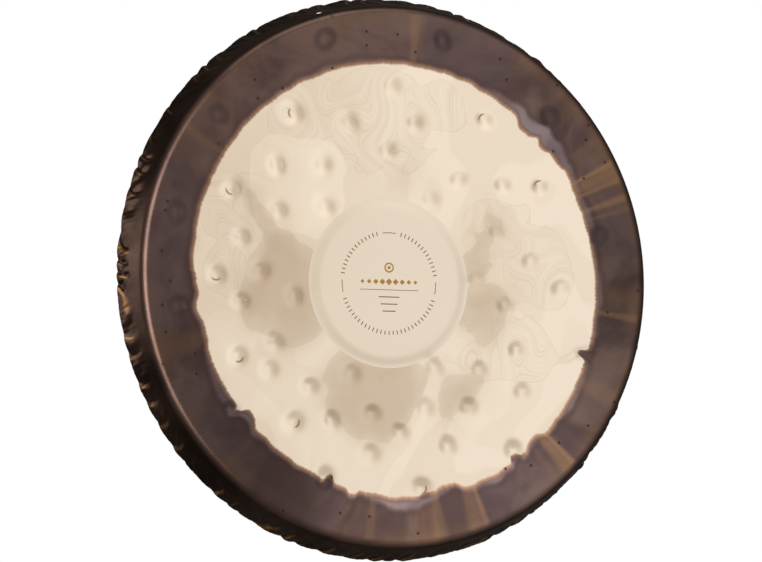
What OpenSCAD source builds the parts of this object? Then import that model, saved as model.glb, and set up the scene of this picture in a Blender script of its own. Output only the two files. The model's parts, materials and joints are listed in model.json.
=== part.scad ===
// Tam tam gong, hammered from one round sheet. The face looks towards -Y and +Z is up.
// The origin is on the gong's axis, halfway between the front of the boss and the back edge.

/* [Gong] */
// Outer diameter over the flared back edge
outer_d = 560; // [400:5:900]
// Distance from the face plane back to the rear edge
rim_depth = 36; // [30:1:60]
// How far the rim flares out past the start of the bend
rim_flare = 20; // [16:1:30]
// Thickness of the sheet
sheet_t = 1.4; // [0.8:0.1:2.4]
// Outside radius of the bend between face and rim
bend_r = 10; // [6:0.5:14]
// Width of the oxidised border between the polished field and the bend
border_w = 42; // [24:1:60]

/* [Boss] */
// Diameter of the raised disc in the middle
boss_d = 168; // [90:2:220]
// Height of the disc above the polished field
boss_rise = 1; // [0.5:0.5:8]
// Width of the sloped band round the disc
boss_slope_w = 13; // [6:1:20]
// Sideways place of the disc, which the maker worked by eye
boss_x = -11; // [-15:1:15]
// Upward place of the disc
boss_z = -7; // [-15:1:15]

/* [Dimples] */
// Width of one hammered dimple
dimple_d = 18; // [8:0.5:22]
// Depth of one hammered dimple
dimple_depth = 1.3; // [0.5:0.1:2.5]
// Gap between the disc and the nearest ring of dimples
inner_gap = 4; // [4:1:14]
// Distance from the bend to the middle of the outermost ring of dimples
outer_inset = 33; // [30:1:50]

/* [Hanging holes] */
// Diameter of each hole
hole_d = 7; // [4:0.5:10]
// Straight distance between the two holes
hole_spacing = 160; // [80:5:260]

/* [Crimped edge] */
// Width of the crimped band along the back edge
crimp_w = 15; // [6:0.5:16]
// Distance from one crimp to the next
crimp_pitch = 18; // [12:1:40]
// Depth of one crimp
crimp_depth = 1; // [0.2:0.1:2]

/* [Printed mark] */
// Radius of the ring of strokes
mark_r = 49.5; // [35:0.5:60]
// Thickness of the ink
ink_t = 0.2; // [0.1:0.1:0.4]

/* [Hidden] */
$fn = 180;
crimp_points = 4;

outer_r = outer_d / 2;
bend_start_r = outer_r - rim_flare;
polish_r = bend_start_r - border_w;
boss_r = boss_d / 2;
mid_depth = (boss_rise - rim_depth) / 2;

// The rim is a straight flange: its outside touches the bend and ends at the rear edge.
// flare_a is the angle between the flange's outward normal and the radius.
edge_reach = sqrt(pow(rim_flare, 2) + pow(rim_depth - bend_r, 2));
flare_a = acos(bend_r / edge_reach) - atan2(rim_depth - bend_r, rim_flare);
flange_top = [bend_start_r + bend_r * cos(flare_a), -bend_r + bend_r * sin(flare_a)];
crimp_top = crimp_w - rim_depth;

// The hanging holes lie halfway down the smooth part of the flange.
hole_h = (flange_top[1] + crimp_top) / 2;

// A dimple is a ball pressed into the front; the back bulges by the same ball plus the sheet.
ball_r = (pow(dimple_d / 2, 2) + pow(dimple_depth, 2)) / (2 * dimple_depth);
ball_h = ball_r - dimple_depth;
ball_fn = 28;
inner_ring_r = boss_r + dimple_d / 2 + inner_gap;
outer_ring_r = bend_start_r - outer_inset;

// Rings of dimples: [share of the way from the inner ring to the outer ring, sideways drift,
// upward drift, angles clockwise from the top]. The angles are set by hand, as on the gong.
rings = [
    [0.00, -14, -7, [29, 86, 148, 202, 261, 319]],
    [0.26, -15, -6, [1, 37, 66, 99, 130, 161, 186, 217, 242, 273, 301, 330]],
    [0.45, -13, 1, [11, 53, 83, 117, 146, 175, 202, 232, 259, 282, 312, 345]],
    [0.66, -8, 6, [0, 33, 61, 94, 130, 161, 187, 214, 241, 267, 294, 326]],
    [1.00, -8, 16, [14, 49, 82, 113, 145, 172, 198, 228, 257, 280, 307, 342]]
];

// Middle of each dimple in the face plane
dimples = [
    for (ring = rings, a = ring[3])
        let (r = inner_ring_r + ring[0] * (outer_ring_r - inner_ring_r))
        [ring[1] + r * sin(a), ring[2] + r * cos(a)]
];

// Places a shape drawn with Z as the gong's axis: Z turns to the front and Y turns up.
module gong_frame() {
    rotate([90, 0, 0]) translate([0, 0, -mid_depth]) children();
}

// Disc between two heights
module slab(r, low, high) {
    translate([0, 0, low]) cylinder(r = r, h = high - low);
}

module at_dimples(r_in, r_out) {
    for (p = dimples)
        if (norm(p) + dimple_d / 2 > r_in && norm(p) - dimple_d / 2 < r_out)
            translate([p[0], p[1], ball_h]) children();
}

// Flat, dimpled sheet out to r_out, without the dimples that lie wholly inside r_in
module hammered_sheet(r_in, r_out) {
    bulge = -sheet_t - 2 * dimple_depth;
    difference() {
        union() {
            slab(r_out, -sheet_t, 0);
            intersection() {
                at_dimples(r_in, r_out) sphere(r = ball_r + sheet_t, $fn = ball_fn);
                slab(r_out, bulge, -sheet_t / 2);
            }
        }
        at_dimples(r_in, r_out) sphere(r = ball_r, $fn = ball_fn);
    }
}

module boss() {
    flat_r = boss_r - boss_slope_w;
    color("ivory") gong_frame() translate([boss_x, boss_z, 0]) rotate_extrude()
        polygon([
            [0, boss_rise], [flat_r, boss_rise], [boss_r, 0],
            [boss_r, -sheet_t], [flat_r, boss_rise - sheet_t], [0, boss_rise - sheet_t]
        ]);
}

module playing_face() {
    hole_top = 1;
    color("antiquewhite") gong_frame() difference() {
        hammered_sheet(0, polish_r);
        translate([boss_x, boss_z, 0]) slab(boss_r, -rim_depth, hole_top);
    }
}

module border() {
    hole_top = 1;
    color("rosybrown") gong_frame() difference() {
        hammered_sheet(polish_r, bend_start_r);
        slab(polish_r, -rim_depth, hole_top);
    }
}

// Round bend that carries the face over into the flange
module shoulder() {
    far = 2 * bend_r;
    color("sienna") gong_frame() rotate_extrude() translate([bend_start_r, -bend_r])
        intersection() {
            difference() {
                circle(r = bend_r);
                circle(r = bend_r - sheet_t);
            }
            polygon([[0, 0], [far * cos(flare_a), far * sin(flare_a)], [far, far], [0, far]]);
        }
}

// Radius of the flange's outside at height h
function flange_r(h) = outer_r - (h + rim_depth) * tan(flare_a);

// Stretch of the flange down to the height low, as a profile of radius and height
module flange_outline(top, low) {
    wall = sheet_t / cos(flare_a);
    polygon([top, [flange_r(low), low], [flange_r(low) - wall, low], top - inward(top)]);
}

// Step through the sheet from its outside: square to the flange at the bend, level elsewhere
function inward(top) =
    top == flange_top
        ? sheet_t * [cos(flare_a), sin(flare_a)]
        : [sheet_t / cos(flare_a), 0];

// Holes through the flange, square to it, at equal angles either side of the top
module hanging_holes() {
    reach = 4 * sheet_t;
    hole_r = flange_r(hole_h);
    side_a = asin(hole_spacing / 2 / hole_r);
    for (side = [-1, 1])
        rotate([0, 0, side * side_a]) translate([0, hole_r, hole_h])
            rotate([flare_a - 90, 0, 0]) cylinder(d = hole_d, h = 2 * reach, center = true);
}

module rim() {
    color("saddlebrown") gong_frame() difference() {
        rotate_extrude() flange_outline(flange_top, crimp_top);
        hanging_holes();
    }
}

// Wavy ring of the pressed edge, with crests at the radius r and valleys crimp_depth inside it
module pleated_outline(r) {
    pleats = round(PI * outer_d / crimp_pitch);
    step = 360 / pleats / crimp_points;
    polygon([
        for (i = [0:pleats * crimp_points - 1])
            let (dip = crimp_depth / 2 * (1 - cos(360 * i / crimp_points)))
            (r - dip) * [cos(i * step), sin(i * step)]
    ]);
}

module crimped_edge() {
    wall = sheet_t / cos(flare_a);
    color("black") gong_frame() translate([0, 0, -rim_depth])
        linear_extrude(crimp_w, scale = flange_r(crimp_top) / outer_r) difference() {
            pleated_outline(outer_r);
            pleated_outline(outer_r - wall);
        }
}

// Ring of radial strokes between two angles, clockwise from the top
module strokes(from, to) {
    step = 5;
    for (a = [from:step:to])
        rotate(-a) translate([0, mark_r]) square([0.9, 4], center = true);
}

// Plain arc between two angles, clockwise from the top
module plain_arc(from, to) {
    step = 2;
    for (a = [from:step:to - step])
        rotate(-a - step / 2) translate([0, mark_r]) square([1.9, 0.7], center = true);
}

module centre_mark() {
    rule_l = 62;
    dot_fn = 32;
    color("darkgoldenrod") gong_frame() translate([boss_x, boss_z, boss_rise])
        linear_extrude(ink_t) {
            strokes(-80, -15);
            strokes(15, 80);
            strokes(110, 250);
            plain_arc(-8, 8);
            plain_arc(88, 102);
            plain_arc(258, 272);
            translate([0, 15]) difference() {
                circle(r = 5, $fn = dot_fn);
                circle(r = 3.6, $fn = dot_fn);
            }
            translate([0, 15]) circle(r = 1.6, $fn = dot_fn);
            for (i = [-4:4])
                translate([i * 7, 1]) circle(r = 3.4 - 0.35 * abs(i), $fn = 4);
            translate([0, -7]) square([rule_l, 0.6], center = true);
            for (i = [0:2])
                translate([0, -14 - 7 * i]) square([22 - 4 * i, 1], center = true);
        }
}

boss();
centre_mark();
playing_face();
border();
shoulder();
rim();
crimped_edge();
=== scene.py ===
"""Tam tam gong: the detailed sheet, its finishes, the light and the camera, round the CAD frame."""
import json
import math

import bpy
import numpy as np
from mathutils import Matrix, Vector


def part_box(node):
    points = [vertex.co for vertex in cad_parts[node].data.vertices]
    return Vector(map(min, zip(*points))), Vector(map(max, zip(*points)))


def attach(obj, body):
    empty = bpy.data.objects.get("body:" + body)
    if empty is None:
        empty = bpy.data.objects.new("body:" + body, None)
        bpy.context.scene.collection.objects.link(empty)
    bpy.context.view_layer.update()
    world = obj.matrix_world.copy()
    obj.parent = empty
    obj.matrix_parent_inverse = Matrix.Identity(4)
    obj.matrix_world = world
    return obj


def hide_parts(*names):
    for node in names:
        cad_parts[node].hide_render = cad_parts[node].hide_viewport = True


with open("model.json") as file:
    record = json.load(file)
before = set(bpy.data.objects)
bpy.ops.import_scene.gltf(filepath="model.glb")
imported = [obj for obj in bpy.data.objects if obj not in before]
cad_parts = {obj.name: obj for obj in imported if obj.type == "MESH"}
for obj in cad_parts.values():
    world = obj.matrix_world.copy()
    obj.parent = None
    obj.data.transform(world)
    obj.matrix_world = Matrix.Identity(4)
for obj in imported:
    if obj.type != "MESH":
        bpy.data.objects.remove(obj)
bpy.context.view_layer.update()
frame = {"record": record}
MM = 0.001


# ---------------------------------------------------------------- sizes, read from the frame

def half_width(node):
    low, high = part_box(node)
    return (high[0] - low[0]) / 2


FACE_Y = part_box("playing_face")[0][1]        # front plane of the polished field
REAR_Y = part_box("crimped_edge")[1][1]        # plane of the rear edge
BOSS_LOW, BOSS_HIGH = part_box("boss")
BOSS_X = (BOSS_LOW[0] + BOSS_HIGH[0]) / 2
BOSS_UP = (BOSS_LOW[2] + BOSS_HIGH[2]) / 2
BOSS_R = half_width("boss")
BOSS_RISE = FACE_Y - BOSS_LOW[1]
POLISH_R = half_width("playing_face")
BEND_START_R = half_width("border")
OUTER_R = half_width("crimped_edge")
RIM_DEPTH = REAR_Y - FACE_Y
CRIMP_DEPTH_FROM_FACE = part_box("crimped_edge")[0][1] - FACE_Y

SHEET = 1.4 * MM
BEND_R = 10 * MM
BOSS_SLOPE = 13 * MM
HOLE_R = 3.5 * MM

# The flange: a straight line in the meridian, tangent to the bend
REACH = math.hypot(OUTER_R - BEND_START_R, RIM_DEPTH - BEND_R)
FLARE = math.acos(BEND_R / REACH) - math.atan2(RIM_DEPTH - BEND_R, OUTER_R - BEND_START_R)
BEND_ARC = BEND_R * (math.pi / 2 - FLARE)
FLANGE_TOP_H = -BEND_R + BEND_R * math.sin(FLARE)
FLANGE_LENGTH = (RIM_DEPTH + FLANGE_TOP_H) / math.cos(FLARE)
CRIMP_START = BEND_ARC + (CRIMP_DEPTH_FROM_FACE + FLANGE_TOP_H) / math.cos(FLARE)
MERIDIAN_END = BEND_ARC + FLANGE_LENGTH

# Rings of dimples: share of the way from the inner to the outer ring, sideways and upward drift
# in mm, and the angles clockwise from the top
RINGS = [
    (0.00, -14, -7, [29, 86, 148, 202, 261, 319]),
    (0.26, -15, -6, [1, 37, 66, 99, 130, 161, 186, 217, 242, 273, 301, 330]),
    (0.45, -13, 1, [11, 53, 83, 117, 146, 175, 202, 232, 259, 282, 312, 345]),
    (0.66, -8, 6, [0, 33, 61, 94, 130, 161, 187, 214, 241, 267, 294, 326]),
    (1.00, -8, 16, [14, 49, 82, 113, 145, 172, 198, 228, 257, 280, 307, 342]),
]
DIMPLE_R = 9 * MM
DIMPLE_DEPTH = 1.3 * MM
INNER_RING_R = BOSS_R + DIMPLE_R + 4 * MM
OUTER_RING_R = BEND_START_R - 33 * MM


def dimple_places():
    """Middle of each dimple in the face plane, as rows of (x, up)."""
    rows = []
    for share, across, up, angles in RINGS:
        ring_r = INNER_RING_R + share * (OUTER_RING_R - INNER_RING_R)
        for angle in np.radians(angles):
            rows.append((across * MM + ring_r * math.sin(angle), up * MM + ring_r * math.cos(angle)))
    return np.array(rows)


DIMPLES = dimple_places()


# ---------------------------------------------------------------- smooth seeded variation

def plane_waves(seed, count, shortest, longest):
    """Smooth variation over the face: a sum of plane waves, about -1 to 1."""
    rng = np.random.default_rng(seed)
    turn = rng.uniform(0, 2 * math.pi, count)
    size = 2 * math.pi / rng.uniform(shortest, longest, count)
    shift = rng.uniform(0, 2 * math.pi, count)

    def value(x, up):
        total = np.zeros_like(x)
        for t, k, s in zip(turn, size, shift):
            total += np.cos(k * (x * math.cos(t) + up * math.sin(t)) + s)
        return total / math.sqrt(count)

    return value


def ring_waves(seed, count, fewest, most):
    """Smooth variation round the gong: a sum of whole waves per turn, about -1 to 1."""
    rng = np.random.default_rng(seed)
    waves = rng.integers(fewest, most, count)
    shift = rng.uniform(0, 2 * math.pi, count)

    def value(angle):
        total = np.zeros_like(angle)
        for n, s in zip(waves, shift):
            total += np.cos(n * angle + s)
        return total / math.sqrt(count)

    return value


def smoothstep(value, low, high):
    t = np.clip((value - low) / (high - low), 0, 1)
    return t * t * (3 - 2 * t)


HAMMER_SWELL = 0.22 * MM         # height of the slow unevenness left by the hammer
LIQUID_SWELL = 0.022 * MM        # height of the fine ripple on it
SWELL_REACH = 20 * MM            # how far round a dimple the flowing lines of grain and painted reflection bend

PLEATS = 78                      # pleats round the edge
PLEAT_HEIGHT = 1.8 * MM
PLEATS_FROM = 0.12               # share of the flange that stays smooth, next to the bend

hammer_swell = plane_waves(11, 22, 0.060, 0.190)
liquid_swell = plane_waves(12, 30, 0.020, 0.045)
pleat_drift = ring_waves(21, 9, 3, 40)
pleat_size = ring_waves(22, 12, 5, 60)
pleat_slant = ring_waves(23, 8, 2, 25)
crumple = ring_waves(24, 16, 120, 420)
lump = ring_waves(25, 16, 30, 120)


# ---------------------------------------------------------------- shape of the sheet

def dimple_fields(x, up):
    """(dent, about 1 at a dimple's middle, and swell, how near the dimples are) on the face."""
    rng = np.random.default_rng(31)
    dent = np.zeros_like(x)
    swell = np.zeros_like(x)
    for px, pup in DIMPLES:
        wide = DIMPLE_R * rng.uniform(0.84, 1.02)
        depth = rng.uniform(0.85, 1.15)
        lean = rng.uniform(0, 2 * math.pi)
        oval = rng.uniform(0.0, 0.12)
        far = np.hypot(x - px, up - pup)
        turn = np.arctan2(up - pup, x - px) - lean
        stretched = far * (1 + oval * np.cos(2 * turn)) / wide
        dent = np.maximum(dent, depth * np.exp(-stretched ** 2 - 0.12 * stretched ** 4))
        swell += np.exp(-(far / SWELL_REACH) ** 2)
    return dent, swell


def face_height(x, up):
    """Height of the front surface over the face plane, boss to bend."""
    out = np.hypot(x, up)
    from_boss = np.hypot(x - BOSS_X, up - BOSS_UP)
    dent, _ = dimple_fields(x, up)
    raised = BOSS_RISE * (1 - smoothstep(from_boss, BOSS_R - BOSS_SLOPE, BOSS_R))
    free = smoothstep(from_boss, BOSS_R - 4 * MM, BOSS_R + 25 * MM)
    free = free * (1 - smoothstep(out, BEND_START_R - 12 * MM, BEND_START_R - 2 * MM))
    swell = HAMMER_SWELL * hammer_swell(x, up) + LIQUID_SWELL * liquid_swell(x, up)
    return raised - DIMPLE_DEPTH * dent + swell * free


def pleats(along, angle):
    """(displacement off the flange, crest 0 to 1) of the crimped, crumpled edge."""
    start = BEND_ARC + PLEATS_FROM * FLANGE_LENGTH
    growth = smoothstep(along, start, MERIDIAN_END - 8 * MM)
    across = (along - start) / (MERIDIAN_END - start)
    phase = PLEATS * angle / (2 * math.pi) + 0.4 * pleat_drift(angle)
    phase = phase + (0.5 + 0.35 * pleat_slant(angle)) * across - 0.95 * (across - 0.25) ** 2
    t = phase - np.floor(phase)
    rise = np.sin(math.pi * t ** 1.4) ** 0.75
    size = 0.80 + 0.50 * pleat_size(angle)
    size = np.clip(size, 0.2, 1.6)
    bumps = size * (rise - 0.6) + 0.06 * crumple(angle + 0.02 * across)
    bumps = bumps + 0.50 * lump(angle + 0.07 * across) * np.sin(math.pi * np.clip(across, 0, 1))
    crest = smoothstep(t, 0.66, 0.80) * (1 - smoothstep(t, 0.84, 0.97)) * np.clip(size, 0, 1)
    return PLEAT_HEIGHT * growth * bumps, crest * growth


def meridian(along):
    """(radius, height, normal's radius part, normal's height part) past the start of the bend."""
    turn = np.clip(along, 0, BEND_ARC) / BEND_R
    past = np.clip(along - BEND_ARC, 0, None)
    before = np.clip(along, None, 0)
    r = BEND_START_R + BEND_R * np.sin(turn) + past * math.sin(FLARE) + before
    h = -BEND_R * (1 - np.cos(turn)) - past * math.cos(FLARE)
    return r, h, np.sin(turn), np.cos(turn)


def to_world(x, up, h):
    return np.stack([x, FACE_Y - h, up], axis=-1)


def disc_grid(middle, r_from, r_to, to_middle, rings, spokes):
    """Face points on rings that blend from one circle to another, with one spare ring each side."""
    share = np.linspace(-1 / rings, 1 + 1 / rings, rings + 3)[:, None]
    angle = np.linspace(0, 2 * math.pi, spokes, endpoint=False)[None, :]
    r = r_from + share * (r_to - r_from)
    x = middle[0] + share * (to_middle[0] - middle[0]) + r * np.sin(angle)
    up = middle[1] + share * (to_middle[1] - middle[1]) + r * np.cos(angle)
    return x, up


def face_zone(grid):
    x, up = grid
    dent, swell = dimple_fields(x, up)
    out = np.hypot(x, up)
    fields = {
        "torn": (out - torn_radius(np.arctan2(x, up))) / MM,
        "tinted": tint_width(np.arctan2(x, up)),
        "outward": (out - BEND_START_R) / MM,
        "dent": dent,
        "swell": swell,
        "grain_and_reflection": grain_and_reflection_strength(x, up),
        "dark_reflection": painted_dark_reflections(x, up),
        "bright_reflection": painted_bright_reflection(x, up),
        "crescent_shade": painted_dimple_crescents(x, up),
        "painted_shading": painted_border_light_and_shade(x, up),
        "crest": np.zeros_like(x),
        "streak": heat_streaks(np.arctan2(x, up), out),
    }
    return to_world(x, up, face_height(x, up)), fields


def rim_zone(from_along, to_along, rings, spokes):
    step = (to_along - from_along) / rings
    along = np.linspace(from_along - step, to_along + step, rings + 3)[:, None]
    angle = np.linspace(0, 2 * math.pi, spokes, endpoint=False)[None, :] + np.zeros_like(along)
    along = along + np.zeros_like(angle)
    r, h, normal_r, normal_h = meridian(along)
    lift, crest = pleats(along, angle)
    r = r + lift * normal_r
    h = h + lift * normal_h
    fields = {
        "torn": (r - torn_radius(angle)) / MM,
        "tinted": tint_width(angle),
        "outward": along / MM,
        "dent": np.zeros_like(r),
        "swell": np.zeros_like(r),
        "grain_and_reflection": np.zeros_like(r),
        "dark_reflection": np.zeros_like(r),
        "bright_reflection": np.zeros_like(r),
        "crescent_shade": np.zeros_like(r),
        "painted_shading": painted_border_light_and_shade(r * np.sin(angle), r * np.cos(angle)),
        "crest": crest,
        "streak": heat_streaks(angle, r) * (1 - smoothstep(along, 0, 4 * MM)),
    }
    return to_world(r * np.sin(angle), r * np.cos(angle), h), fields


# ---------------------------------------------------------------- where the polish stops

# Bites out of the polished edge and tongues of it: angle from the top, width in degrees,
# depth in mm (inwards is negative)
BITES = [
    (42, 5, -7), (49, 3, -4), (60, 4, 3), (110, 1.6, -10), (138, 4, -6), (145, 2, -6),
    (166, 5, -8), (172, 3, -3), (193, 2, 5), (200, 1.5, -7), (228, 4, -7), (231, 1.5, 4),
    (254, 6, -4), (266, 5, -4),
]
# Heat-tinted streaks across the border: angle from the top, width in degrees, strength
STREAKS = [
    (62.4, 0.5, 0.62), (64.2, 1.5, 0.36), (66.2, 0.5, 0.45), (70.5, 0.6, 0.42), (73.0, 0.4, 0.18),
    (134.2, 0.5, 0.55), (135.8, 1.1, 0.30), (159.0, 0.5, 0.40), (161.0, 1.5, 0.22),
    (170, 1.0, 0.20), (187, 0.8, 0.20), (4, 0.9, 0.25), (98, 0.6, 0.35), (117, 1.5, 0.15),
    (252, 2.2, 0.15), (302, 0.8, 0.15),
]
# Lilac bands outside the torn edge: angle from the top, spread in degrees, width in mm
LILAC_BANDS = [
    (46, 18, 15), (74, 10, 6), (92, 10, 5), (118, 12, 3), (150, 12, 5), (178, 14, 9), (235, 14, 7),
    (340, 20, 3),
]
# Painted reflection shade: browner, darker places of the polish round the disc, where darker surroundings
# would be mirrored: across, up, their two radii and strength, in mm
DARK_REFLECTION_PATCHES = [
    (88, 2, 48, 88, 0.72), (-118, -14, 62, 70, 0.95), (-18, -112, 76, 62, 0.90),
    (-150, 70, 45, 70, 0.45), (-5, 105, 60, 45, 0.35), (60, -120, 60, 50, 0.50),
]
# Painted reflection: the brighter patch round four dimples, as overlapping rounds: across, up and radius in
# mm
BRIGHT_REFLECTION_PATCH = [(-104, 86, 46), (-128, 106, 22), (-80, 106, 20), (-126, 62, 20), (-82, 62, 20)]
# Painted shade: thin brown crescents in some dimples, where a dimple's wall would mirror darker
# surroundings: across, up, and the side they lie on, clockwise from the top
CRESCENTS = [
    (-115, 156, 260), (-183, 84, 220), (-190, 0, 180), (-168, -78, 150), (-108, -141, 115),
    (89, 154, 310), (150, 88, 320), (20, -210, 115),
]
CRESCENT_R = 0.62 * DIMPLE_R
CRESCENT_WIDE = 1.2 * MM
CRESCENT_SPREAD = 64             # degrees to each side
# Painted light and shade on the border: lighter and darker places, where brighter or darker surroundings
# would be mirrored: across, up and radius in mm, share of the tone
PAINTED_BORDER_LIGHT = [
    (10, -250, 110, 0.75), (165, -185, 85, 0.45), (-170, -180, 95, -0.30), (255, 10, 85, -0.30),
]
# Where the polish shows its flowing lines, partly grain and partly painted reflection of the rippled metal:
# across, up and radius in mm
GRAIN_AND_REFLECTION_PLACES = [
    (-98, 160, 42), (-20, 150, 62), (-165, 60, 40), (-178, 0, 30), (95, 50, 34), (150, 12, 42),
    (85, -62, 46), (128, -70, 40), (45, 170, 30),
]
POLISH_SHORT = 4.5 * MM          # how far inside the border's start the polish stops, on average
OFF_CENTRE = 3.7 * MM            # how far its outline is off the gong's middle
OUT_OF_ROUND = 3.1 * MM
RAGGED_BY = 0.5 * MM
FRAYED_BY = 0.22 * MM
ragged = ring_waves(41, 18, 7, 60)
frayed = ring_waves(42, 30, 60, 420)


def angle_from(angle, middle_degrees):
    """Signed distance in degrees, the short way round."""
    away = np.degrees(angle) - middle_degrees
    return (away + 180) % 360 - 180


def torn_radius(angle):
    """Radius where the polish stops, at an angle clockwise from the top."""
    edge = POLISH_R - POLISH_SHORT - OFF_CENTRE * np.cos(angle - 0.26)
    edge = edge - OUT_OF_ROUND * np.cos(2 * angle - 1.7)
    edge = edge + RAGGED_BY * ragged(angle) + FRAYED_BY * frayed(angle)
    for middle, width, depth in BITES:
        away = angle_from(angle, middle)
        edge = edge + depth * MM * np.exp(-(away / width * 1.4) ** 4)
    return edge


def grain_and_reflection_strength(x, up):
    strength = np.zeros_like(x)
    for across, high, radius in GRAIN_AND_REFLECTION_PLACES:
        far = np.hypot(x - across * MM, up - high * MM) / (radius * MM)
        strength = np.maximum(strength, 1 - smoothstep(far, 0.6, 1.15))
    return strength


# Painted reflection: how strongly the brighter patch round four dimples shows.
def painted_bright_reflection(x, up):
    strength = np.zeros_like(x)
    for across, high, radius in BRIGHT_REFLECTION_PATCH:
        far = np.hypot(x - across * MM, up - high * MM) / (radius * MM)
        strength += np.exp(-far ** 2)
    return strength


def painted_dimple_crescents(x, up):
    """Painted shade: thin brown arcs inside the dimples that are nearest to the listed places."""
    strength = np.zeros_like(x)
    for across, high, side in CRESCENTS:
        away = np.hypot(DIMPLES[:, 0] - across * MM, DIMPLES[:, 1] - high * MM)
        px, pup = DIMPLES[away.argmin()]
        far = np.hypot(x - px, up - pup)
        turn = angle_from(np.arctan2(x - px, up - pup), side)
        arc = np.exp(-((far - CRESCENT_R) / CRESCENT_WIDE) ** 2)
        arc = arc * np.exp(-(turn / CRESCENT_SPREAD) ** 4)
        strength = np.maximum(strength, arc)
    return strength


# Painted reflection shade: how strongly the polish round the disc is browned and darkened.
def painted_dark_reflections(x, up):
    strength = np.zeros_like(x)
    for across, high, wide, tall, most in DARK_REFLECTION_PATCHES:
        far = np.hypot((x - across * MM) / (wide * MM), (up - high * MM) / (tall * MM))
        strength = np.maximum(strength, most * (1 - smoothstep(far, 0.1, 1.35)))
    return strength


# Painted light and shade: a tone factor for the border, raised and lowered at the listed places.
def painted_border_light_and_shade(x, up):
    painted_shading = np.ones_like(x)
    for across, high, radius, share in PAINTED_BORDER_LIGHT:
        far = np.hypot(x - across * MM, up - high * MM) / (radius * MM)
        painted_shading += share * np.exp(-far ** 2)
    return painted_shading


def tint_width(angle):
    wide = 3.5 + 0.7 * ragged(angle + 1.0)
    for middle, spread, width in LILAC_BANDS:
        wide = wide + width * np.exp(-(angle_from(angle, middle) / spread * 1.3) ** 2)
    return wide


def heat_streaks(angle, out):
    glow = np.zeros_like(out)
    spread = 1 + 0.6 * smoothstep(out, POLISH_R, BEND_START_R)
    for middle, width, strength in STREAKS:
        away = angle_from(angle, middle) / (width * spread)
        glow = np.maximum(glow, strength * np.exp(-away ** 4))
    return glow


# ---------------------------------------------------------------- meshes

def grid_normals(points):
    """Front normals of a grid of rings, from differences across the spare rings."""
    across = points[2:] - points[:-2]
    round_about = (np.roll(points, -1, axis=1) - np.roll(points, 1, axis=1))[1:-1]
    normal = np.cross(round_about, across)
    normal /= np.linalg.norm(normal, axis=-1, keepdims=True)
    if normal[0, :, 1].mean() > 0:
        normal = -normal
    return normal


def shell_mesh(name, zone, close_middle=False):
    """A closed piece of sheet: front grid, back grid one sheet behind it, and its end walls."""
    points, fields = zone
    normal = grid_normals(points)
    front = points[1:-1]
    fields = {key: value[1:-1] for key, value in fields.items()}
    rings, spokes = front.shape[:2]
    back = front - normal * SHEET
    verts = np.concatenate([front.reshape(-1, 3), back.reshape(-1, 3)])
    here = np.arange(rings * spokes).reshape(rings, spokes)
    beside = np.roll(here, -1, axis=1)
    size = rings * spokes
    front_quads = np.stack([here[:-1], beside[:-1], beside[1:], here[1:]], axis=-1).reshape(-1, 4)
    back_quads = front_quads[:, ::-1] + size
    outer_wall = np.stack([here[-1], beside[-1], beside[-1] + size, here[-1] + size], axis=-1)
    walls = [outer_wall]
    faces = [front_quads, back_quads]
    polygons = [row.tolist() for block in faces for row in block]
    smooth = [True] * len(polygons)
    kinds = [0] * len(front_quads) + [1] * len(back_quads)
    if close_middle:
        verts = np.concatenate([verts, [front[0].mean(0), back[0].mean(0)]])
        for a, b in zip(here[0], beside[0]):
            polygons.append([int(a), int(2 * size), int(b)])
            polygons.append([int(a + size), int(b + size), int(2 * size + 1)])
            smooth += [True, True]
            kinds += [0, 1]
    else:
        walls.append(np.stack([here[0], here[0] + size, beside[0] + size, beside[0]], axis=-1))
    for wall in walls:
        for row in wall.tolist():
            polygons.append(row)
            smooth.append(False)
            kinds.append(1)
    first = np.array(polygons[0])
    facing = np.cross(verts[first[1]] - verts[first[0]], verts[first[2]] - verts[first[0]])
    if np.dot(facing, normal[0, 0]) < 0:
        polygons = [row[::-1] for row in polygons]
    mesh = bpy.data.meshes.new(name)
    mesh.from_pydata(verts.tolist(), [], polygons)
    mesh.polygons.foreach_set("use_smooth", smooth)
    mesh.polygons.foreach_set("material_index", kinds)
    extra = len(verts) - 2 * size
    for key, value in fields.items():
        flat = np.concatenate([value.ravel(), value.ravel(), np.full(extra, value[0].mean())])
        layer = mesh.attributes.new(key, "FLOAT", "POINT")
        layer.data.foreach_set("value", flat.astype(np.float32))
    keep_normals(mesh, normal, size, extra)
    mesh.validate()
    return mesh


def keep_normals(mesh, normal, size, extra):
    """The grid's own normals on the smooth faces, so that neighbouring pieces shade as one."""
    flat = normal.reshape(-1, 3)
    own = np.concatenate([flat, -flat, np.zeros((extra, 3))])
    corners = np.empty(len(mesh.loops), dtype=np.int32)
    mesh.loops.foreach_get("vertex_index", corners)
    values = own[corners]
    for face in mesh.polygons:
        if not face.use_smooth:
            values[face.loop_start:face.loop_start + face.loop_total] = 0
    mesh.normals_split_custom_set(values.tolist())


def add_piece(name, mesh, node, materials):
    piece = bpy.data.objects.new(name, mesh)
    bpy.context.scene.collection.objects.link(piece)
    for material in materials:
        mesh.materials.append(material)
    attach(piece, "root")
    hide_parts(node)
    return piece


# ---------------------------------------------------------------- node materials

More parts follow.
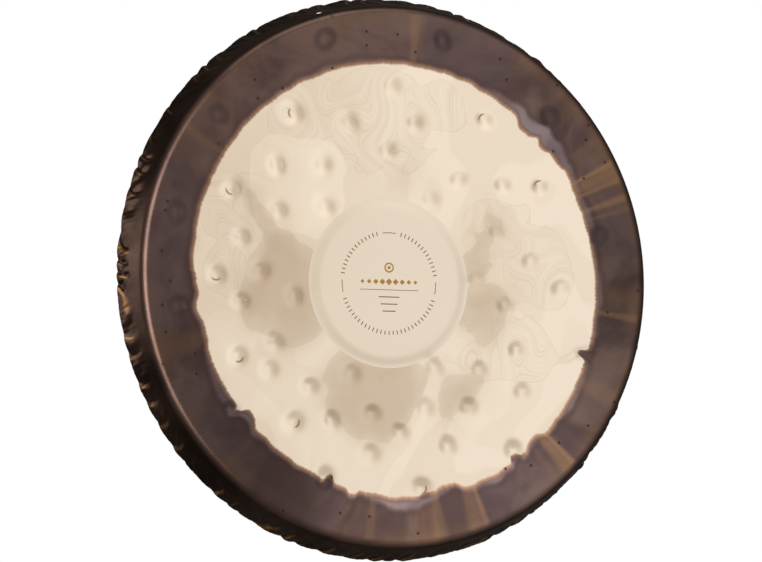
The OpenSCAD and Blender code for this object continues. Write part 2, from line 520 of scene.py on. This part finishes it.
class Graph:
    """Short calls that build one node material."""

    def __init__(self, name):
        self.material = bpy.data.materials.new(name)
        self.material.use_nodes = True
        self.tree = self.material.node_tree
        self.tree.nodes.clear()
        out = self.node("ShaderNodeOutputMaterial")
        self.shader = self.node("ShaderNodeBsdfPrincipled")
        self.tree.links.new(self.shader.outputs[0], out.inputs[0])
        self.place = self.node("ShaderNodeTexCoord").outputs["Object"]

    def node(self, kind, **settings):
        made = self.tree.nodes.new(kind)
        for key, value in settings.items():
            setattr(made, key, value)
        return made

    def put(self, value, socket):
        if isinstance(value, bpy.types.NodeSocket):
            self.tree.links.new(value, socket)
        elif isinstance(value, tuple) and len(value) == 3 and socket.type == "RGBA":
            socket.default_value = (*value, 1)
        else:
            socket.default_value = value

    def math(self, operation, a, b=0.0, clamp=False):
        made = self.node("ShaderNodeMath", operation=operation, use_clamp=clamp)
        self.put(a, made.inputs[0])
        self.put(b, made.inputs[1])
        return made.outputs[0]

    def smooth(self, value, low, high):
        made = self.node("ShaderNodeMapRange", interpolation_type="SMOOTHSTEP")
        self.put(value, made.inputs["Value"])
        made.inputs["From Min"].default_value = low
        made.inputs["From Max"].default_value = high
        return made.outputs["Result"]

    def mix(self, factor, a, b, blend="MIX"):
        made = self.node("ShaderNodeMix", data_type="RGBA", blend_type=blend)
        self.put(factor, made.inputs[0])
        self.put(a, made.inputs[6])
        self.put(b, made.inputs[7])
        return made.outputs[2]

    def noise(self, scale, detail=2.0, rough=0.5, warp=0.0, at=None):
        made = self.node("ShaderNodeTexNoise")
        self.put(at or self.place, made.inputs["Vector"])
        made.inputs["Scale"].default_value = scale
        made.inputs["Detail"].default_value = detail
        made.inputs["Roughness"].default_value = rough
        made.inputs["Distortion"].default_value = warp
        return made.outputs["Fac"]

    def field(self, name):
        return self.node("ShaderNodeAttribute", attribute_name=name).outputs["Fac"]

    def spokes(self):
        """Direction from the gong's axis: noise on it runs in radial streaks."""
        flat = self.node("ShaderNodeVectorMath", operation="MULTIPLY")
        self.put(self.place, flat.inputs[0])
        flat.inputs[1].default_value = (1, 0, 1)
        unit = self.node("ShaderNodeVectorMath", operation="NORMALIZE")
        self.put(flat.outputs[0], unit.inputs[0])
        return unit.outputs[0]

    def bump(self, height, distance, strength=1.0):
        made = self.node("ShaderNodeBump")
        made.inputs["Distance"].default_value = distance
        made.inputs["Strength"].default_value = strength
        self.put(height, made.inputs["Height"])
        return made.outputs["Normal"]

    def finish(self, colour, roughness, normal=None, metallic=1.0):
        self.put(colour, self.shader.inputs["Base Color"])
        self.put(roughness, self.shader.inputs["Roughness"])
        self.shader.inputs["Metallic"].default_value = metallic
        if normal is not None:
            self.put(normal, self.shader.inputs["Normal"])
        return self.material


# Colours of the front
CREAM = (0.83, 0.735, 0.61)             # the polished metal
# paler and mid cream: painted reflection patches on the polish
PALE_CREAM = (0.875, 0.785, 0.665)
MID_CREAM = (0.845, 0.755, 0.635)
GRAIN_REFLECTION_DARK = (0.66, 0.57, 0.44)         # flowing lines: partly grain, partly painted reflection
GRAIN_REFLECTION_LIGHT = (0.92, 0.85, 0.75)
FLOW_REFLECTION_TONE = (0.76, 0.66, 0.54)          # places with the flowing lines, and their outline: painted reflection tone
FLOW_REFLECTION_EDGE = (0.58, 0.50, 0.39)
BRIGHT_REFLECTION_TONE = (0.93, 0.84, 0.71)         # painted bright reflection patch
REFLECTION_BROWN = (0.50, 0.395, 0.27)        # painted reflection shade round the disc
REFLECTION_TAN = (0.545, 0.44, 0.325)
# painted shade in the dimples' crescents
CRESCENT_SHADE_BROWN = (0.22, 0.12, 0.06)
OXIDE_DARK = (0.076, 0.051, 0.050)      # the border
OXIDE_LIGHT = (0.150, 0.103, 0.093)
BEND_BROWN = (0.165, 0.102, 0.070)
SECTOR_PURPLE = (0.085, 0.064, 0.078)
BAND_BROWN = (0.155, 0.098, 0.066)
LILAC_DARK = (0.150, 0.112, 0.125)      # the lilac band
LILAC_LIGHT = (0.235, 0.190, 0.205)
BEYOND_LILAC = (0.062, 0.040, 0.042)    # the darker line outside it
NEAR_TORN = (0.095, 0.058, 0.055)       # next to the torn edge, and the edge's fringe
FRINGE = (0.40, 0.25, 0.175)
STREAK_GOLD = (0.34, 0.205, 0.10)
BORDER_DIMPLE_SHADE = (0.050, 0.036, 0.040)           # painted shade on the slopes of the border's dimples
PIT = (0.03, 0.02, 0.02)
RIM_DARK = (0.055, 0.036, 0.031)        # the rim
RIM_LIGHT = (0.140, 0.092, 0.072)
CREST_WEAR_AND_GLINT = (0.46, 0.27, 0.11)         # crests of the pleats: worn gold and a painted highlight


def polished(g):
    """(colour, roughness) of the polished field: tones, flowing lines partly of grain and partly painted
    reflection, painted bright and dark reflection patches, and painted crescent shade in dimples.
    """
    hills = g.math("ADD", g.noise(5.5, 2.0, 0.45, 0.7), g.math("MULTIPLY", g.field("swell"), 0.09))
    # Flowing lines that bend round the dimples: partly polish grain, partly painted reflection of the
    # rippled metal.
    wave = g.math("SINE", g.math("MULTIPLY", hills, 520.0))
    slow = g.math("SINE", g.math("MULTIPLY", hills, 117.0))
    line = g.math("ADD", g.math("MULTIPLY", wave, 0.5), g.math("MULTIPLY", slow, 0.5))
    line = g.math("MULTIPLY", line, g.field("grain_and_reflection"))
    # Painted reflection: crisp-edged paler and mid-cream patches, as a rippled mirror shows them.
    colour = g.mix(g.smooth(hills, 0.50, 0.525), CREAM, PALE_CREAM)
    colour = g.mix(g.smooth(hills, 0.60, 0.62), colour, MID_CREAM)
    colour = g.mix(g.math("MULTIPLY", g.smooth(line, 0.0, 1.4), 0.45), colour, GRAIN_REFLECTION_DARK)
    colour = g.mix(g.math("MULTIPLY", g.smooth(line, 0.0, -1.2), 0.5), colour, GRAIN_REFLECTION_LIGHT)
    # Painted reflection tone: a darker tone with a darker outline where the flowing lines show.
    scallop = g.math("SUBTRACT", g.noise(11.0, 2.0, 0.45, 1.4), 0.5)
    flow = g.math("ADD", g.field("grain_and_reflection"), g.math("MULTIPLY", scallop, 3.2))
    colour = g.mix(g.math("MULTIPLY", g.smooth(flow, 0.44, 0.54), 0.24), colour, FLOW_REFLECTION_TONE)
    rim_of_flow = g.smooth(g.math("ABSOLUTE", g.math("SUBTRACT", flow, 0.48)), 0.07, 0.0)
    colour = g.mix(g.math("MULTIPLY", rim_of_flow, 0.22), colour, FLOW_REFLECTION_EDGE)
    # Painted reflection: a brighter, crisp-edged patch round four dimples.
    bright_reflection = g.math("ADD", g.field("bright_reflection"), g.math("MULTIPLY", scallop, 0.9))
    colour = g.mix(g.math("MULTIPLY", g.smooth(bright_reflection, 0.42, 0.50), 0.55), colour, BRIGHT_REFLECTION_TONE)
    # Painted reflection shade: brown, darker patches round the disc, with rippled edges.
    ripple = g.math("SUBTRACT", g.noise(7.5, 3.0, 0.5, 1.0), 0.5)
    ripple = g.math("MULTIPLY", ripple, g.smooth(g.field("dark_reflection"), 0.0, 0.5))
    dark_reflection = g.math("ADD", g.field("dark_reflection"), g.math("MULTIPLY", ripple, 2.4))
    brown = g.mix(g.noise(4.0, 1.0), REFLECTION_BROWN, REFLECTION_TAN)
    colour = g.mix(g.math("MULTIPLY", g.smooth(dark_reflection, 0.0, 1.0), 0.60), colour, brown)
    colour = g.mix(g.math("MULTIPLY", g.smooth(dark_reflection, 0.42, 0.45), 0.26), colour, brown)
    # Painted shade: brown crescents on one side of some dimples.
    painted_crescent_shade = g.math("MULTIPLY", g.smooth(g.field("crescent_shade"), 0.25, 0.8), 0.75)
    colour = g.mix(painted_crescent_shade, colour, CRESCENT_SHADE_BROWN)
    rough = g.math("ADD", 0.06, g.math("MULTIPLY", g.noise(9.0, 3.0), 0.06))
    hammered = g.math("MULTIPLY", g.smooth(g.field("dent"), 0.0, 0.6), 0.09)
    return colour, g.math("ADD", rough, hammered)


def oxidised(g, torn):
    """(colour, roughness) of the unpolished border, by distance in mm from the polish."""
    bands = g.noise(5.0, 3.0, 0.6, 0.0, g.spokes())
    sectors = g.noise(2.6, 1.0, 0.4, 0.0, g.spokes())
    cloud = g.noise(9.0, 4.0, 0.6, 0.6)
    wander = g.math("MULTIPLY", g.math("SUBTRACT", g.noise(16.0, 2.0, 0.5, 0.3), 0.5), 9.0)
    beyond = g.math("ADD", g.math("SUBTRACT", torn, g.field("tinted")), wander)
    tint = g.mix(g.smooth(cloud, 0.38, 0.62), OXIDE_DARK, OXIDE_LIGHT)
    near_bend = g.math("MULTIPLY", g.smooth(g.field("outward"), -16.0, -2.0), g.smooth(bands, 0.35, 0.65))
    tint = g.mix(g.math("MULTIPLY", near_bend, 0.55), tint, BEND_BROWN)
    tint = g.mix(g.math("MULTIPLY", g.smooth(sectors, 0.50, 0.52), 0.35), tint, SECTOR_PURPLE)
    tint = g.mix(g.math("MULTIPLY", g.smooth(bands, 0.52, 0.7), 0.6), tint, BAND_BROWN)
    lilac = g.mix(g.smooth(g.noise(18.0, 3.0), 0.35, 0.65), LILAC_DARK, LILAC_LIGHT)
    tint = g.mix(g.smooth(beyond, -5.0, 3.0), lilac, tint)
    rise = g.math("MULTIPLY", g.smooth(beyond, -3.0, 2.0), g.smooth(beyond, 9.0, 2.0))
    tint = g.mix(g.math("MULTIPLY", rise, 0.35), tint, BEYOND_LILAC)
    tint = g.mix(g.math("MULTIPLY", g.smooth(torn, 6.5, 3.0), 0.8), tint, NEAR_TORN)
    tint = g.mix(g.smooth(torn, 6.0, -0.8), tint, FRINGE)
    tint = g.mix(g.math("MULTIPLY", g.field("streak"), 0.8), tint, STREAK_GOLD)
    # Painted shade: the border darker towards its left side, a little lighter towards its right.
    sides = g.node("ShaderNodeSeparateXYZ")
    g.put(g.place, sides.inputs[0])
    painted_side_shade = g.smooth(sides.outputs[0], -0.26, 0.10)
    tint = g.mix(1.0, tint, g.mix(painted_side_shade, (0.82, 0.80, 0.80), (1.08, 1.07, 1.06)), "MULTIPLY")
    # Painted light and shade: the border's tone raised and lowered at the listed places.
    tint = g.mix(1.0, tint, g.field("painted_shading"), "MULTIPLY")
    return tint, g.math("ADD", 0.17, g.math("MULTIPLY", g.noise(30.0, 4.0), 0.16))


def pits(g):
    """Small dark pits, in some cells of a coarse cell pattern."""
    split_place = g.node("ShaderNodeSeparateXYZ")
    g.put(g.place, split_place.inputs[0])
    flat = g.node("ShaderNodeCombineXYZ")
    g.put(split_place.outputs[0], flat.inputs[0])
    g.put(split_place.outputs[2], flat.inputs[1])
    cells = g.node("ShaderNodeTexVoronoi", voronoi_dimensions="2D")
    g.put(flat.outputs[0], cells.inputs["Vector"])
    cells.inputs["Scale"].default_value = 34.0
    near = g.math("SUBTRACT", 1.0, g.smooth(cells.outputs["Distance"], 0.03, 0.07))
    split = g.node("ShaderNodeSeparateColor")
    g.put(cells.outputs["Color"], split.inputs[0])
    return g.math("MULTIPLY", near, g.smooth(split.outputs[0], 0.55, 0.6))


def front_metal():
    """The whole front of the sheet but the disc: polish with painted reflections, torn edge, oxide with
    painted shade, dark rim, crests worn gold with a painted highlight.
    """
    g = Graph("gong_front")
    fray = g.math("SUBTRACT", g.noise(90.0, 4.0, 0.65, 0.0, g.spokes()), 0.5)
    fine = g.math("SUBTRACT", g.noise(110.0, 3.0), 0.5)
    torn = g.math("ADD", g.field("torn"), g.math("MULTIPLY", fray, 1.8))
    torn = g.math("ADD", torn, g.math("MULTIPLY", fine, 2.2))
    bare = g.smooth(torn, -1.6, 1.2)
    bright, bright_rough = polished(g)
    tint, tint_rough = oxidised(g, torn)
    # Painted shade: a dark ring on the slopes of each dimple in the border.
    painted_dimple_shade = g.math("MULTIPLY", g.smooth(g.field("dent"), 0.0, 0.25), g.smooth(g.field("dent"), 1.1, 0.5))
    tint = g.mix(g.math("MULTIPLY", painted_dimple_shade, 0.5), tint, BORDER_DIMPLE_SHADE)
    tint = g.mix(g.math("MULTIPLY", pits(g), 0.8), tint, PIT)
    worn = g.smooth(g.noise(12.0, 4.0, 0.6), 0.35, 0.7)
    dark = g.mix(worn, RIM_DARK, RIM_LIGHT)
    # Crests of the pleats: partly worn gold, partly a painted highlight.
    dark = g.mix(g.math("MULTIPLY", g.smooth(g.field("crest"), 0.3, 0.9), 0.85), dark, CREST_WEAR_AND_GLINT)
    past_bend = g.smooth(g.field("outward"), 1.0, 12.0)
    near_rim = g.smooth(g.field("outward"), -3.0, 3.0)
    skin = g.mix(past_bend, tint, dark)
    colour = g.mix(bare, bright, skin)
    rough = g.mix(bare, bright_rough, g.mix(near_rim, tint_rough, (0.33, 0.33, 0.33)))
    height = g.math("MULTIPLY", bare, g.noise(220.0, 4.0, 0.6))
    return g.finish(colour, rough, g.bump(height, 0.0002, 0.5))


def disc_metal():
    g = Graph("disc_metal")
    cloud = g.noise(6.0, 3.0)
    colour = g.mix(cloud, (0.78, 0.71, 0.60), (0.84, 0.77, 0.67))
    rough = g.math("ADD", 0.20, g.math("MULTIPLY", g.noise(22.0, 3.0), 0.10))
    return g.finish(colour, rough, g.bump(g.noise(320.0, 2.0), 0.00005, 0.3))


def back_metal():
    g = Graph("gong_back")
    bands = g.noise(4.0, 4.0, 0.6, 0.4)
    colour = g.mix(bands, (0.035, 0.024, 0.020), (0.13, 0.085, 0.060))
    fine = g.smooth(g.noise(40.0, 5.0, 0.65), 0.45, 0.75)
    colour = g.mix(g.math("MULTIPLY", fine, 0.5), colour, (0.20, 0.13, 0.08))
    rough = g.math("ADD", 0.30, g.math("MULTIPLY", g.noise(25.0, 4.0), 0.2))
    return g.finish(colour, rough, g.bump(g.noise(150.0, 5.0, 0.6), 0.0003, 0.5))


def ink():
    g = Graph("ink")
    colour = g.mix(g.noise(180.0, 3.0), (0.10, 0.075, 0.025), (0.15, 0.105, 0.03))
    return g.finish(colour, g.math("ADD", 0.35, g.math("MULTIPLY", g.noise(90.0, 2.0), 0.1)), None, 0.3)


def gold_ink():
    g = Graph("gold_ink")
    colour = g.mix(g.noise(160.0, 3.0), (0.30, 0.17, 0.02), (0.40, 0.24, 0.04))
    return g.finish(colour, g.math("ADD", 0.30, g.math("MULTIPLY", g.noise(90.0, 2.0), 0.1)), None, 0.6)


# ---------------------------------------------------------------- the printed mark

INK = 0.15 * MM
MARK_R = 49.5 * MM


class Print:
    """Flat, closed ink shapes on top of the disc."""

    def __init__(self):
        self.verts = []
        self.faces = []
        self.kinds = []

    def shape(self, outline, kind=0):
        """One closed prism of ink from an outline of (across, up) points round the disc's middle."""
        start = len(self.verts)
        count = len(outline)
        for depth in (-0.3 * INK, INK):
            for across, up in outline:
                y = FACE_Y - BOSS_RISE - depth
                self.verts.append((BOSS_X + across, y, BOSS_UP + up))
        low = list(range(start, start + count))
        top = [v + count for v in low]
        rows = [low, top[::-1]]
        for i in range(count):
            j = (i + 1) % count
            rows.append([low[i], top[i], top[j], low[j]])
        self.faces += rows
        self.kinds += [kind] * len(rows)

    def bar(self, across, up, width, height, turn=0.0):
        c, s = math.cos(turn), math.sin(turn)
        corners = []
        for i, j in ((-1, -1), (1, -1), (1, 1), (-1, 1)):
            a, b = i * width / 2, j * height / 2
            corners.append((across + a * c - b * s, up + a * s + b * c))
        self.shape(corners)

    def disc(self, across, up, radius, sides, kind):
        turns = [2 * math.pi * i / sides for i in range(sides)]
        self.shape([(across + radius * math.cos(t), up + radius * math.sin(t)) for t in turns], kind)

    def arc(self, radius, start, end, width):
        """Arc between two angles clockwise from the top."""
        steps = max(int(abs(end - start) / 2), 2)
        angles = np.radians(np.linspace(start, end, steps + 1))
        outside = [((radius + width / 2) * math.sin(a), (radius + width / 2) * math.cos(a)) for a in angles]
        inside = [((radius - width / 2) * math.sin(a), (radius - width / 2) * math.cos(a)) for a in angles]
        self.shape((outside + inside[::-1])[::-1])

    def strokes(self, start, end):
        """Radial strokes between two angles clockwise from the top."""
        for degrees in np.arange(start, end + 1, 5):
            a = math.radians(degrees)
            self.bar(MARK_R * math.sin(a), MARK_R * math.cos(a), 0.9 * MM, 4 * MM, -a)

    def mesh(self):
        made = bpy.data.meshes.new("centre_mark")
        made.from_pydata(self.verts, [], self.faces)
        made.polygons.foreach_set("material_index", self.kinds)
        made.validate()
        return made


def centre_mark():
    """A plain ornament: a ring of strokes, arcs, a ringed dot, a row of lozenges and rules."""
    art = Print()
    for start, end in ((-80, -15), (15, 80), (110, 250)):
        art.strokes(start, end)
    for start, end in ((-8, 8), (88, 102), (258, 272)):
        art.arc(MARK_R, start, end, 0.7 * MM)
    for half in (0, 180):
        angles = np.radians(np.linspace(half, half + 180, 25))
        outer = [(5 * MM * math.cos(a), 15 * MM + 5 * MM * math.sin(a)) for a in angles]
        inner = [(3.6 * MM * math.cos(a), 15 * MM + 3.6 * MM * math.sin(a)) for a in angles]
        art.shape(outer + inner[::-1], 1)
    art.disc(0, 15 * MM, 1.6 * MM, 24, 1)
    for i in range(-4, 5):
        r = (3.4 - 0.35 * abs(i)) * MM
        x = i * 7 * MM
        art.shape([(x + r, MM), (x, MM + r), (x - r, MM), (x, MM - r)], 1)
    art.bar(0, -7 * MM, 62 * MM, 0.6 * MM)
    for i in range(3):
        art.bar(0, (-14 - 7 * i) * MM, (22 - 4 * i) * MM, MM)
    return art.mesh()


# ---------------------------------------------------------------- the pieces

SPOKES = 800
EDGE_SPOKES = 1600
HUB = (BOSS_X, BOSS_UP)
AXIS = (0.0, 0.0)


def hanging_holes(rim):
    """Cuts the two hanging holes, square to the flange and halfway down its smooth part."""
    for mount in frame["record"]["mounts"]:
        if mount["kind"] != "bore":
            continue
        bpy.ops.mesh.primitive_cylinder_add(vertices=48, radius=HOLE_R, depth=12 * MM)
        cutter = bpy.context.object
        cutter.location = Vector(mount["pos_m"])
        cutter.rotation_mode = "QUATERNION"
        cutter.rotation_quaternion = Vector(mount["axis"]).to_track_quat("Z", "Y")
        cutter.data.materials.append(rim.data.materials[0])
        cutter.data.materials.append(rim.data.materials[1])
        cut = rim.modifiers.new("hole", "BOOLEAN")
        cut.operation = "DIFFERENCE"
        cut.solver = "EXACT"
        cut.object = cutter
        bpy.context.view_layer.objects.active = rim
        bpy.ops.object.modifier_apply(modifier=cut.name)
        bpy.data.objects.remove(cutter, do_unlink=True)


def build_gong():
    front, back = front_metal(), back_metal()
    boss = shell_mesh("boss", face_zone(disc_grid(HUB, 2 * MM, BOSS_R, HUB, 64, 400)), True)
    add_piece("centre_disc", boss, "boss", [disc_metal(), back])
    add_piece("printed_mark", centre_mark(), "centre_mark", [ink(), gold_ink()])
    field = shell_mesh("field", face_zone(disc_grid(HUB, BOSS_R, POLISH_R, AXIS, 84, SPOKES)))
    add_piece("polished_field", field, "playing_face", [front, back])
    band = shell_mesh("band", face_zone(disc_grid(AXIS, POLISH_R, BEND_START_R, AXIS, 26, SPOKES)))
    add_piece("oxidised_border", band, "border", [front, back])
    bend = shell_mesh("bend", rim_zone(0, BEND_ARC, 14, SPOKES))
    add_piece("rounded_shoulder", bend, "shoulder", [front, back])
    flange = shell_mesh("flange", rim_zone(BEND_ARC, CRIMP_START, 12, EDGE_SPOKES))
    rim = add_piece("flared_rim", flange, "rim", [front, back])
    hanging_holes(rim)
    edge = shell_mesh("edge", rim_zone(CRIMP_START, MERIDIAN_END, 16, EDGE_SPOKES))
    add_piece("crimped_rear_edge", edge, "crimped_edge", [front, back])


# ---------------------------------------------------------------- light, floor and camera

VIEW_AZIMUTH = math.radians(21.7)      # the camera stands to the gong's left
VIEW_RISE = math.radians(4.6)          # and a little below it, looking up
VIEW_DISTANCE = 4.0
AIM_RIGHT = -17.8 * MM                 # what the middle of the picture looks at, off the gong's middle
AIM_UP = -4.8 * MM
PIXELS_PER_METRE = 1013.7
PICTURE_WIDTH = 762


def look(obj, place, target):
    obj.location = place
    obj.rotation_mode = "QUATERNION"
    obj.rotation_quaternion = (target - place).to_track_quat("-Z", "Y")


def add_camera():
    ahead = Vector((
        math.sin(VIEW_AZIMUTH) * math.cos(VIEW_RISE),
        math.cos(VIEW_AZIMUTH) * math.cos(VIEW_RISE),
        math.sin(VIEW_RISE),
    ))
    right = Vector((math.cos(VIEW_AZIMUTH), -math.sin(VIEW_AZIMUTH), 0))
    middle = Vector((0, FACE_Y, 0))
    place = middle - ahead * VIEW_DISTANCE
    target = middle + right * AIM_RIGHT + right.cross(ahead) * AIM_UP
    data = bpy.data.cameras.new("camera")
    data.sensor_width = 36
    data.lens = 36 * PIXELS_PER_METRE * VIEW_DISTANCE / PICTURE_WIDTH
    camera = bpy.data.objects.new("camera", data)
    bpy.context.scene.collection.objects.link(camera)
    look(camera, place, target)
    bpy.context.scene.camera = camera


def softbox(name, azimuth, rise, distance, width, height, power, colour=(1, 1, 1)):
    """A rectangular light that faces the gong, azimuth to the right of straight in front of it."""
    a, e = math.radians(azimuth), math.radians(rise)
    place = Vector((math.sin(a) * math.cos(e), -math.cos(a) * math.cos(e), math.sin(e))) * distance
    data = bpy.data.lights.new(name, "AREA")
    data.shape = "RECTANGLE"
    data.size = width
    data.size_y = height
    data.energy = power
    data.color = colour
    lamp = bpy.data.objects.new(name, data)
    bpy.context.scene.collection.objects.link(lamp)
    lamp.visible_camera = False
    look(lamp, place, Vector((0, 0, 0)))


def lit_wall():
    """The soft panel that the gong mirrors.

    It is bright in the middle and at the top, dimmer towards its sides and below, and dark at
    the far left, where it makes the dark line beside the bend.
    """
    distance = 1.9
    half = 1.6
    mesh = bpy.data.meshes.new("lit_wall")
    mesh.from_pydata([(-half, -half, 0), (half, -half, 0), (half, half, 0), (-half, half, 0)],
                     [], [(0, 1, 2, 3)])
    wall = bpy.data.objects.new("lit_wall", mesh)
    bpy.context.scene.collection.objects.link(wall)
    a, e = VIEW_AZIMUTH, VIEW_RISE
    place = Vector((math.sin(a) * math.cos(e), -math.cos(a) * math.cos(e), math.sin(e))) * distance
    look(wall, place, Vector((0, 0, 0)))
    g = Graph("lit_wall")
    split = g.node("ShaderNodeSeparateXYZ")
    g.put(g.place, split.inputs[0])
    across, up = split.outputs[0], split.outputs[1]
    lit = g.math("MULTIPLY", g.smooth(across, -0.72, -0.30), g.smooth(across, 0.82, 0.34))
    lit = g.math("MULTIPLY", lit, g.smooth(up, -0.74, -0.30))
    bright = g.mix(g.smooth(across, -0.42, 0.05), (0.83, 0.76, 0.685), (1.0, 0.95, 0.90))
    colour = g.mix(lit, (0.62, 0.55, 0.48), bright)
    colour = g.mix(g.smooth(up, 0.25, 0.75), colour, (1.12, 1.08, 1.04), "MULTIPLY")
    colour = g.mix(g.smooth(across, -0.80, -1.05), colour, (0.10, 0.082, 0.07))
    emit = g.node("ShaderNodeEmission")
    g.put(colour, emit.inputs["Color"])
    out = next(n for n in g.tree.nodes if n.type == "OUTPUT_MATERIAL")
    g.tree.links.new(emit.outputs[0], out.inputs[0])
    mesh.materials.append(g.material)
    wall.visible_camera = False
    wall.visible_shadow = False


def add_lights():
    lit_wall()
    softbox("left_strip", -25, 2, 1.9, 0.95, 1.5, 30, (1.0, 0.92, 0.78))
    softbox("left_glow", -108, 4, 1.8, 1.5, 0.9, 6.5, (1.0, 0.86, 0.76))
    softbox("overhead", 0, 66, 1.9, 1.4, 0.8, 5)
    softbox("behind", 168, 3, 2.2, 1.4, 1.2, 8)


def add_world():
    """White round the object for the camera, and for the rest a soft room that is dark behind."""
    world = bpy.data.worlds.new("studio")
    bpy.context.scene.world = world
    world.use_nodes = True
    tree = world.node_tree
    tree.nodes.clear()
    out = tree.nodes.new("ShaderNodeOutputWorld")
    direction = tree.nodes.new("ShaderNodeTexCoord")
    split = tree.nodes.new("ShaderNodeSeparateXYZ")
    tree.links.new(direction.outputs["Generated"], split.inputs[0])
    lift = tree.nodes.new("ShaderNodeMapRange")
    lift.inputs["From Min"].default_value = 0.35
    lift.inputs["From Max"].default_value = -0.85
    tree.links.new(split.outputs["Y"], lift.inputs["Value"])
    ramp = tree.nodes.new("ShaderNodeValToRGB")
    tree.links.new(lift.outputs["Result"], ramp.inputs[0])
    ramp.color_ramp.elements[0].color = (0.080, 0.068, 0.060, 1)
    ramp.color_ramp.elements[1].color = (0.50, 0.45, 0.40, 1)
    room = tree.nodes.new("ShaderNodeBackground")
    tree.links.new(ramp.outputs["Color"], room.inputs["Color"])
    white = tree.nodes.new("ShaderNodeBackground")
    white.inputs["Color"].default_value = (1, 1, 1, 1)
    rays = tree.nodes.new("ShaderNodeLightPath")
    both = tree.nodes.new("ShaderNodeMixShader")
    tree.links.new(rays.outputs["Is Camera Ray"], both.inputs[0])
    tree.links.new(room.outputs[0], both.inputs[1])
    tree.links.new(white.outputs[0], both.inputs[2])
    tree.links.new(both.outputs[0], out.inputs[0])


def add_floor():
    half = 12.0
    drop = -OUTER_R - 0.55
    mesh = bpy.data.meshes.new("floor")
    mesh.from_pydata([(-half, -half, drop), (half, -half, drop), (half, half, drop), (-half, half, drop)],
                     [], [(0, 1, 2, 3)])
    floor = bpy.data.objects.new("floor", mesh)
    bpy.context.scene.collection.objects.link(floor)
    g = Graph("pale_floor")
    pale = g.mix(g.noise(0.8), (0.80, 0.79, 0.78), (0.84, 0.83, 0.82))
    mesh.materials.append(g.finish(pale, 0.7, None, 0.0))
    floor.visible_glossy = False


add_camera()
add_world()
add_lights()
add_floor()
build_gong()
bpy.context.scene.view_settings.view_transform = "Standard"
